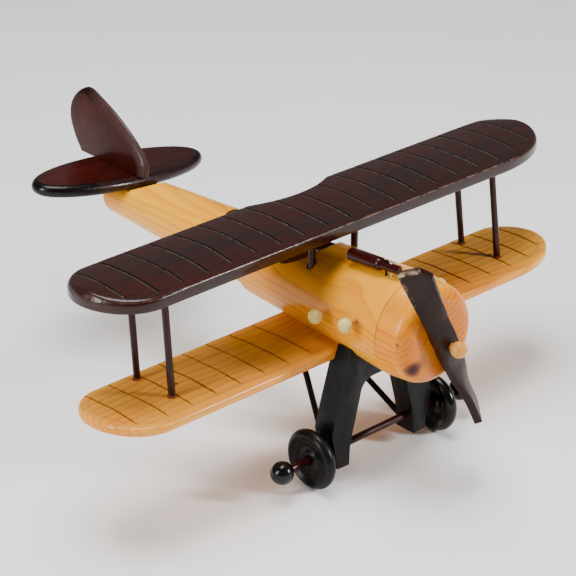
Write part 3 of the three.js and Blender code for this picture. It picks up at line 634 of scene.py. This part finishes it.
def plank(wing, grooves, start, scallop, front_round, tip_round, seed):
    """A closed plank: crowned top with rounded arrises and carved grooves, flat underside.

    The grooves begin start mm behind the front edge. Each runs a little unevenly and has its own width and depth.
    """
    rng = np.random.default_rng(seed)
    middle, half = wing["middle"], wing["half"]
    cuts = {g: (rng.uniform(0.72, 0.95), rng.uniform(0.7, 1.0)) for g in grooves}  # half width and depth
    stations = set()
    for side, hand in ((-1, "right"), (1, "left")):
        for reach in (wing[hand], wing["back"]):
            stations |= {round(middle + side * (half - reach * (1 - math.sin(a))), 3) for a in
                         np.linspace(0, math.pi / 2, 34)}
    stations |= {round(x, 3) for x in np.arange(middle - half + 66, middle + half - 66, 5.4)}
    if scallop:
        stations |= {round(x, 3) for x in np.linspace(-SCALLOP_HALF - 3, SCALLOP_HALF + 3, 57)}
    for g, (w, _) in cuts.items():
        stations = {x for x in stations if abs(x - g) > w * 1.9 + 1.5}
        stations |= {round(g + k * w, 3) for k in (-1.9, -1.25, -1, -0.5, 0, 0.5, 1, 1.25, 1.9)}
    stations = sorted(stations)
    outline = []  # points all round the plank
    for x in np.unique(np.concatenate([stations, np.linspace(middle - half, middle + half, 900)])):
        y0, y1, _ = chord(wing, x, scallop)
        outline += [(x, y0), (x, y1)]
    for x in (middle - half, middle + half):
        y0, y1, _ = chord(wing, x, scallop)
        outline += [(x, y) for y in np.linspace(y0, y1, 12)]
    outline = np.array(outline)
    # distances of the lines of vertices behind the front edge, before the rear edge, and from both edges underneath
    near = np.array([0, 0.1, 0.28, 0.55, 0.9, 1.4, 2.1, 3.0, 4.3, 6.0, start, start + 1.2, start + 3])
    back = np.array([0, 0.1, 0.3, 0.6, 1.0, 1.6, 2.4, 3.6])[::-1]
    low = np.array([0, 0.25, 0.7, 1.4])
    rows = []
    for x in stations:
        y0, y1, uncut = chord(wing, x, scallop)
        k = min(1, (y1 - y0) / 45)
        inner = np.linspace(y0 + (start + 3) * k, y1 - 3.6 * k, 26)[1:-1]
        top = np.concatenate([y0 + near * k, inner, y1 - back * k])
        bottom = np.concatenate([y1 - low * k, np.linspace(y1 - 1.4 * k, y0 + 1.4 * k, 8)[1:-1], y0 + low[::-1] * k])
        rows.append((x, y0, y1, uncut, top, bottom))
    tops = len(rows[0][4])
    count = tops + len(rows[0][5])
    verts, groove, rim, worn, gaps, tips = [], [], [], [], [], []
    for x, y0, y1, uncut, top, bottom in rows:
        # how far each vertex is from the nearest point of the outline, which rounds the arrises evenly
        gap = np.hypot(outline[:, 0] - x, outline[:, 1] - np.concatenate([top, bottom])[:, None]).min(1)
        share = (uncut - y0) / (wing["rear"] - wing["front"])
        thin = 1 - 0.35 * max(0, 1 - share * 2.2)
        tip = float(ease(abs(x - middle), half - 70, half - 8))
        radius = front_round + (tip_round - front_round) * tip
        for i, y in enumerate(top):
            t = min(max((y - y0) / (uncut - y0), 0), 1)
            rise = wing["edge"] + (wing["tail"] - wing["edge"]) * t * t + wing["crown"] * math.sin(math.pi * t) ** 0.8
            r = radius + (1.8 - radius) * float(ease(t, 0.55, 1.0)) * (1 - tip)
            d = gap[i]
            drop = r - math.sqrt(max(r * r - (r - d) ** 2, 0)) if d < r else 0
            z = wing["under"] + rise * thin - drop
            z += 0.16 * noise.noise(Vector((x * 0.03, y * 0.05, seed)))
            line = edge = shift = 0.0
            for g, (w, deep) in cuts.items():
                off = abs(x - g)
                if off < w * 2.5:
                    run = float(ease(y - y0, start - 2.5, start + 1.0))
                    shift = 1.1 * noise.noise(Vector((g * 0.7, y * 0.045, seed))) * run
                    wave = 1 + 0.25 * noise.noise(Vector((g, y * 0.2, seed)))
                    z -= deep * run * wave * max(0, 1 - off / w) ** 0.8
                    line = run * (1.0 if off <= w * 0.55 else 0.55 if off <= w * 1.02 else 0.0)
                    # the lip on the lower-x side of each groove, marked for a painted highlight
                    edge = run * (1.0 if w * 0.98 < g - x < w * 1.6 else 0.0)
            verts.append((x + shift, y, z))
            groove.append(line)
            rim.append(edge)
            worn.append(math.exp(-((d - 0.3 * r) / 0.3) ** 2) * (0.55 if 0 < i and t < 0.3 else 0.0) * (1 - 0.6 * tip))
            gaps.append(d)
            tips.append(tip)
        for i, y in enumerate(bottom):
            d = gap[tops + i]
            drop = 1.2 - math.sqrt(max(1.44 - (1.2 - d) ** 2, 0)) if d < 1.2 else 0
            verts.append((x, y, wing["under"] + drop))
            for values in (groove, rim, worn, gaps, tips):
                values.append(0.0)
    faces = quads(len(rows), count)
    faces.append(tuple(range(count)))
    faces.append(tuple(range((len(rows) - 1) * count, len(rows) * count))[::-1])
    return verts, faces, {"groove": groove, "groove_lip_highlight": rim, "worn": worn, "edge_gap": gaps, "tip": tips}


verts, faces, marks = plank(UPPER, [RIB * k for k in range(-9, 10)], 7.0, True, 1.0, 3.4, 3)
piece("upper_wing_plank", verts, faces, wing_dark, "upper_wing", 40, marks)
lower_grooves = [side * (48.4 + RIB * k) for side in (-1, 1) for k in range(8)]
verts, faces, marks = plank(LOWER, lower_grooves, 12.0, False, 1.7, 2.8, 7)
piece("lower_wing_plank", verts, faces, wing_pine, "lower_wing", 40, marks)


# ---- struts, braces, axle, pegs ----
def dowel(node, look, end=0.25, sides=32, collar=None, wobble=0.16):
    """A turned rod in a CAD rod's place, with a ragged collar of glue where collar says (z, height, spread)."""
    foot, top, r = rod_of(node)
    reach = float(np.linalg.norm(top - foot))
    profile = [(0, r - end), (end, r)] + [(t, r) for t in np.linspace(end + 1, reach - end - 1, 26)]
    profile += [(reach - end, r), (reach, r - end)]
    seed = sum(map(ord, node)) * 0.37
    verts, faces = lathe(profile, foot, top - foot, sides, wobble, seed)
    piece(node + "_turned", verts, faces, look, node)
    if not collar:
        return
    z, height, spread = collar
    d = (top - foot) / reach
    base = foot + d * ((z - foot[2]) / d[2])
    rings = []
    for t, out in ((-0.5, 1.0), (0.05, 1.0), (0.25, 0.72), (0.55, 0.4), (0.8, 0.16), (1.0, 0.0), (1.05, -0.4)):
        x, y = base[:2] + d[:2] * height * t
        ring = []
        for k in range(28):
            a = 2 * math.pi * k / 28
            ragged = 1 + 0.55 * noise.noise(Vector((math.cos(a) * 1.4, math.sin(a) * 1.4, seed)))
            at = r + 0.02 + spread * out * ragged
            ring.append((x + at * math.cos(a), y + at * math.sin(a), z + height * t))
        rings.append(ring)
    blob = make_mesh(node + "_glue", *skin(rings))
    drop = add_object(node + "_glue", blob)
    blob.materials.append(glue)
    smooth(drop, 50)
    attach(drop, body_of[node])


def lower_top(y):
    """Height of the lower wing's top away from its tips and edges."""
    t = (y - LOWER["front"]) / (LOWER["rear"] - LOWER["front"])
    rise = LOWER["edge"] + (LOWER["tail"] - LOWER["edge"]) * t ** 2 + LOWER["crown"] * math.sin(math.pi * t) ** 0.8
    return LOWER["under"] + rise


for hand in ("right", "left"):
    for place, y in STRUT_Y.items():
        dowel(f"strut_{hand}_{place}", strut_wood, collar=(lower_top(y), 1.3, 1.15))
    dowel(f"cabane_strut_{hand}", strut_wood)
    dowel(f"gear_brace_{hand}", leg_paint, wobble=0.12)
    for place in ("front", "rear"):
        dowel(f"exhaust_peg_{hand}_{place}", peg_wood, sides=24, wobble=0)
dowel("axle", axle_wood, wobble=0.08)
dowel("propeller_pin", bead_wood, wobble=0)

for node in ("cowl_dowel", "tail_dowel", "fin_pin_front", "fin_pin_rear"):  # hidden, so kept as the CAD has them
    carried = frame["nodes"][node]
    carried.data.materials.clear()
    carried.data.materials.append(birch_wood)
    smooth(carried, 32)


# ---- beads ----
def bead(node, look, direction, facets=0.12):
    """A turned bead with its poles along a direction, very slightly flattened there."""
    low, high = (np.array(corner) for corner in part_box(node))
    centre = (low + high) * 500 + (0, MIDDLE_Y, 0)
    radius = float(min(high - low)) * 500
    profile = [(-radius * math.cos(a), radius * math.sin(a) * (1 - 0.012 * abs(math.cos(a)))) for a in
               np.linspace(0, math.pi, 40)]
    verts, faces = lathe(profile, centre, direction, 64, facets, sum(map(ord, node)) * 0.11)
    piece(node + "_bead", verts, faces, look, node, 45)


for hand, side in (("right", -1), ("left", 1)):
    for place in ("front", "rear"):
        bead(f"exhaust_ball_{hand}_{place}", ivory_paint, (side, 0, 0))
    bead(f"hub_ball_{hand}", gloss_paint, (side, 0, 0), 0.2)
bead("propeller_ball", bead_wood, (0, -1, 0), 0.1)


# ---- tail surfaces ----
half_span, half_chord, half_thick, tail_mid = 81.0, 30.7, 4.9, 158.2
edge_round = 5.0
fuller = 0.975  # a power under 1 makes the outline a little fuller than an ellipse
TAIL_SIDES = 168
insets = [half_chord - 0.01, 24.0, 16.0, 10.0, 7.0, 5.6]  # the innermost ring closes the board along its middle
profile = [(inset, half_thick) for inset in insets]
profile += [(edge_round * (1 - math.sin(a)), half_thick * math.cos(a)) for a in
            np.linspace(0.12, math.pi - 0.12, 19)]
profile += [(inset, -half_thick) for inset in insets[::-1]]
rings = []
for inset, z in profile:
    ring = []
    for k in range(TAIL_SIDES):
        a = 2 * math.pi * k / TAIL_SIDES
        c, s = math.cos(a), math.sin(a)
        x = math.copysign(abs(c) ** fuller, c) * (half_span - inset)
        y = math.copysign(abs(s) ** fuller, s) * (half_chord - inset)
        lift = 0.15 * noise.noise(Vector((x * 0.04, y * 0.05, 2.0))) if inset > 6 and z > 0 else 0
        ring.append((x, tail_mid + y, TAIL_Z + z + lift))
    rings.append(ring)
verts, faces = skin(rings)
rims = [float(5.2 > inset) for inset, _ in profile for _ in range(TAIL_SIDES)]
# where the painted highlight specks go: the front of the rounded edge, away from the near tip
painted_sheen = [rims[i] * float(v[1] < 140 and v[0] > -40) * 0.5 for i, v in enumerate(verts)]
piece("stabiliser_board", rolled(verts), faces, tail_flat_wood, "stabiliser", 24,
      {"rim": rims, "painted_sheen": painted_sheen})

# the fin's outline as (y, z), from the front of its foot over the top to the rear of its foot
FIN = [(123.5, 138.3), (124.5, 149.5), (138.5, 162.8), (160.8, 176.3), (183, 186), (198.5, 190.4), (211, 183.9),
       (218.45, 173), (218.15, 160), (211, 146.5), (204, 138.3)]


def spline(points, per):
    """A smooth curve through every point, with per steps between two of them."""
    p = np.array([2 * np.array(points[0]) - points[1]] + list(points) + [2 * np.array(points[-1]) - points[-2]], float)
    out = []
    for a, b, c, d in zip(p, p[1:], p[2:], p[3:]):
        for t in np.linspace(0, 1, per, endpoint=False):
            out.append(0.5 * (2 * b + (c - a) * t + (2 * a - 5 * b + 4 * c - d) * t ** 2
                              + (3 * b - a - 3 * c + d) * t ** 3))
    return np.array(out + [p[-2]])


edge = spline(FIN, 12)
slope = np.gradient(edge, axis=0)
normal = np.stack([slope[:, 1], -slope[:, 0]], 1)
normal /= np.linalg.norm(normal, axis=1)[:, None]
fin_width = 8.6 - 4.4 * ease(edge[:, 0], 186, 208)  # of the rounded border, narrower at the rear
# (share of that width in from the edge, offset from the middle plane)
section = [(1.0, 4.5), (0.72, 4.15), (0.5, 3.65), (0.3, 2.9), (0.16, 2.2), (0.05, 1.25), (0.0, 0.0)]
section += [(i, -t) for i, t in section[-2::-1]]
rows = []
for i, t in section:
    inner = edge + normal * (fin_width * i)[:, None]
    inner[0] = edge[0] + (9.4 * i, 0)
    inner[-1] = edge[-1] - (5.0 * i, 0)
    inner[:, 1] = np.maximum(inner[:, 1], edge[0][1])
    rows.append([(t, y, z) for y, z in inner])
count = len(edge)
verts = [p for row in rows for p in row]
faces = quads(len(rows), count, closed=False)
faces.append(tuple(range(count)))
faces.append(tuple(range((len(rows) - 1) * count, len(rows) * count))[::-1])
faces.append(tuple(i * count for i in range(len(rows))) + tuple(i * count + count - 1 for i in range(len(rows)))[::-1])
rims = [float(i < 0.99) for i, _ in section for _ in edge]
# where the painted highlight specks go: the rounded edge, fading out towards the rear
painted_sheen = [float(i < 0.99) * float(1 - ease(y, 178, 200)) for i, _ in section for y, _ in edge]
piece("fin_board", rolled(verts), faces, tail_wood, "fin", 24, {"rim": rims, "painted_sheen": painted_sheen})


# ---- propeller ----
def blade_rings():
    """Sections from the lower tip to the upper one, flat at the hub and pitched and thinner outwards."""
    rings, worn = [], []
    stations = sorted(set(np.round(np.linspace(-1, 1, 97), 4)) | {-0.999, 0.999, -0.99, 0.99, -0.97, 0.97})
    for share in stations:
        r = share * PROP_R
        q = abs(share)
        half = (PROP_WIDE[0] + (PROP_WIDE[1] - PROP_WIDE[0]) * q) / 2
        thick = (PROP_THICK[0] + (PROP_THICK[1] - PROP_THICK[0]) * float(ease(abs(r), 5, 24))) / 2
        pitch = -math.copysign(1, r) * PROP_PITCH * float(ease(abs(r), 8, 55))
        soft = 0.5 + 0.2 * q
        left, right = -half, half
        if r > 0:
            right -= 7.0 * max(0, (q - 0.9) / 0.1)  # the clipped corner
        ring = [(left, -thick + soft), (left + soft * 0.3, -thick + soft * 0.3), (left + soft, -thick)]
        ring += [(left + soft + (right - left - 2 * soft) * k / 7, -thick) for k in range(1, 7)]
        ring += [(right - soft, -thick), (right - soft * 0.3, -thick + soft * 0.3), (right, -thick + soft)]
        ring += [(x, -y) for x, y in ring[::-1]]
        turned = []
        for k, (x, y) in enumerate(ring):
            wave = 0.12 * noise.noise(Vector((x * 0.2, y * 0.2, r * 0.08)))
            y += wave
            turned.append((x * math.cos(pitch) - y * math.sin(pitch), x * math.sin(pitch) + y * math.cos(pitch), r))
            worn.append(1.0 if r > 0 and q > 0.996 and k < 12 else 0.35 if r > 0 and q > 0.6 and k in (1, 2) else 0.0)
        rings.append(turned)
    return rings, worn


rings, worn = blade_rings()
verts, faces = skin(rings)
c, s = math.cos(PROP_TURN), math.sin(PROP_TURN)
verts = [(x * c - z * s, PROP_Y + y, PROP_Z + x * s + z * c) for x, y, z in verts]
blades = piece("propeller_blades", verts, faces, blade_wood, "propeller", 34, {"worn": worn})
carve(blades, [lathe([(0, PROP_BORE_R), (20, PROP_BORE_R)], (0, PROP_Y - 10, PROP_Z), (0, 1, 0), 48)], 34)


# ---- landing gear ----
# one half of the block's outline as (x, z), each list from the bottom up: outside, inside, arch between the legs
outer = [(32.4, 10.3), (43.7, 10.6), (49.4, 39.8), (45.2, 56.1), (36.1, 86.8), (31.3, 101)]
inner = [(31.7, 24.9), (29.6, 34.5), (23.3, 58), (21.2, 66.4)]
arch_start, arch_bend, arch_end = np.array([inner[-1], (18.5, 74), (8, 74)])
arch = [tuple((1 - t) ** 2 * arch_start + 2 * t * (1 - t) * arch_bend + t * t * arch_end) for t in
        np.linspace(0.1, 1, 10)]
half_outline = outer[::-1] + inner + arch
outline = half_outline + [(-x, z) for x, z in half_outline[::-1]]
rings = [[(x, y, z) for x, z in outline] for y in (GEAR_FRONT_Y, GEAR_REAR_Y)]
verts, faces = skin(rings)
gear = piece("gear_block", verts, faces, leg_paint, "gear_frame")
belly = lathe([(0, body_radius(-141) + 0.3), (28, body_radius(-113) + 0.3)], (0, -141, AXIS_Z), (0, 1, 0), 120)
carve(gear, [belly, box(-60, 60, LOWER["front"] - 0.3, -100, LOWER["under"] - 0.3, 130)])
bevel(gear, 0.7, 3, 40)

# a wheel's section as (distance from its middle plane, radius): a round tread, stepped flanks and the bore
tread = [(4.8 * math.sin(a), 17.7 + 4.8 * math.cos(a)) for a in np.linspace(-math.pi / 2, math.pi / 2, 25)]
flank = [(3.15, 3.62), (3.6, 4.1), (3.6, 6.6), (3.3, 7.0), (2.3, 8.2), (2.1, 8.8), (2.15, 11.0), (1.75, 11.3),
         (1.75, 11.9), (2.2, 12.3), (2.5, 14.2), (2.9, 14.6), (2.9, 15.2)]
wheel_profile = [(-t, r) for t, r in flank] + [(t, r) for t, r in tread if abs(t) < 4.4 or r > 18] + flank[::-1]
wheel_profile += [(0, 3.2)]
for hand, side, look in (("right", -1, wheel_paint), ("left", 1, gloss_paint)):
    rings = []
    for t, r in wheel_profile:
        ring = []
        for k in range(96):
            a = 2 * math.pi * k / 96
            ring.append((side * WHEEL_X + t, AXLE_Y + r * math.cos(a), WHEEL_R + r * math.sin(a)))
        rings.append(ring)
    verts, faces = skin(rings, caps=False)
    count = len(rings[0])
    last = (len(rings) - 1) * count
    faces += [(last + j, last + (j + 1) % count, (j + 1) % count, j) for j in range(count)]
    piece(f"wheel_{hand}_turned", verts, faces, look, f"wheel_{hand}", 30)


# ---- gun ----
GUN_REAR, GUN_FRONT = np.array([-10.4, -112.2, 160.3]), np.array([-9, -143.4, 161.9])
gun_length = float(np.linalg.norm(GUN_FRONT - GUN_REAR))
gun_round = 4.5
jacket = [(0, 0.001), (0, GUN_R - 1.0), (0.3, GUN_R - 0.3), (0.9, GUN_R)]
jacket += [(t, GUN_R) for t in np.linspace(2, gun_length - gun_round - 0.1, 16)]
jacket += [(gun_length - gun_round + gun_round * math.sin(a), GUN_R - gun_round + gun_round * math.cos(a)) for a in
           np.linspace(0.05, math.pi / 2, 12)]
jacket += [(gun_length, 0.001)]
verts, faces = lathe(jacket, GUN_REAR, GUN_FRONT - GUN_REAR, 56, 0.15, 2.0)
piece("gun_jacket_turned", verts, faces, gun_wood, "gun_jacket", 40)
dowel("gun_barrel", gun_wood, end=0.9, wobble=0.1)


def nail(node, look, foot, head, sides):
    """An upright nail in a CAD nail's place: foot gives (height, radius) up from its bottom, head down from its top."""
    low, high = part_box(node)
    x, y = (low.x + high.x) * 500, (low.y + high.y) * 500 + MIDDLE_Y
    tall = high.z * 1000 - low.z * 1000
    profile = foot + [(tall - down, r) for down, r in head]
    verts, faces = lathe(profile, (x, y, low.z * 1000), (0, 0, 1), sides)
    piece(node + "_forged", verts, faces, look, node, 40)


round_head = [(0.95, 0.8), (0.9, 1.6), (0.75, 1.8), (0.5, 1.82), (0.2, 1.6), (0.05, 1.1), (0, 0.5)]
for place, look, slot in (("rear", nail_black, "black_iron"), ("front", nail_steel, "steel")):
    nail(f"gun_nail_{place}", look, [(0, 0.3), (0.4, 0.8)], round_head, 32)
brad_head = [(0.3, 0.85), (0.1, 0.8), (0, 0.4)]
for hand in ("right", "left"):
    nail(f"strut_brad_{hand}", nail_black, [(0, 0.2), (0.5, 0.7)], brad_head, 24)


# ---- studio ----
def soft_light(name, where, width, height, power):
    """A rectangular light in metres and watts, aimed at the middle of the model."""
    light = bpy.data.lights.new(name, "AREA")
    light.shape, light.size, light.size_y, light.energy = "RECTANGLE", width, height, power
    obj = add_object(name, light)
    obj.location = where
    obj.rotation_euler = (Vector((0, 0, 0.1)) - Vector(where)).to_track_quat("-Z", "Y").to_euler()


soft_light("left_softbox", (-1.6, 0.1, 0.8), 0.5, 0.9, 26)
soft_light("right_softbox", (0.9, -1.4, 0.75), 0.22, 0.4, 30)
soft_light("top_softbox", (-0.1, 0.1, 1.9), 1.0, 1.0, 44)

world = bpy.data.worlds.new("studio")
bpy.context.scene.world = world
world.use_nodes = True
sky = world.node_tree.nodes["Background"]
sky.inputs["Color"].default_value = (1.0, 1.0, 1.0, 1.0)
sky.inputs["Strength"].default_value = 0.16

floor_mesh = bpy.data.meshes.new("floor")
floor_mesh.from_pydata([(-6, -6, 0), (6, -6, 0), (6, 6, 0), (-6, 6, 0)], [], [(0, 1, 2, 3)])
floor = add_object("floor", floor_mesh)
paper = Look("paper")
tone = paper.mix(paper.noise(paper.mm, 0.004, 2), (244, 244, 244), (250, 250, 250))
grain = paper.bump(paper.noise(paper.mm, 0.5, 2), 0.02, 0.0002)
floor_mesh.materials.append(paper.finish(tone, 0.9, grain, specular=0.1))

camera = add_object("camera", bpy.data.cameras.new("camera"))
camera.data.lens = 140.65
camera.data.sensor_width = 36
camera.location = (-0.9932, -1.1205, 0.8307)
camera.rotation_euler = Vector((0.6061, 0.6597, -0.4443)).to_track_quat("-Z", "Y").to_euler()
bpy.context.scene.camera = camera
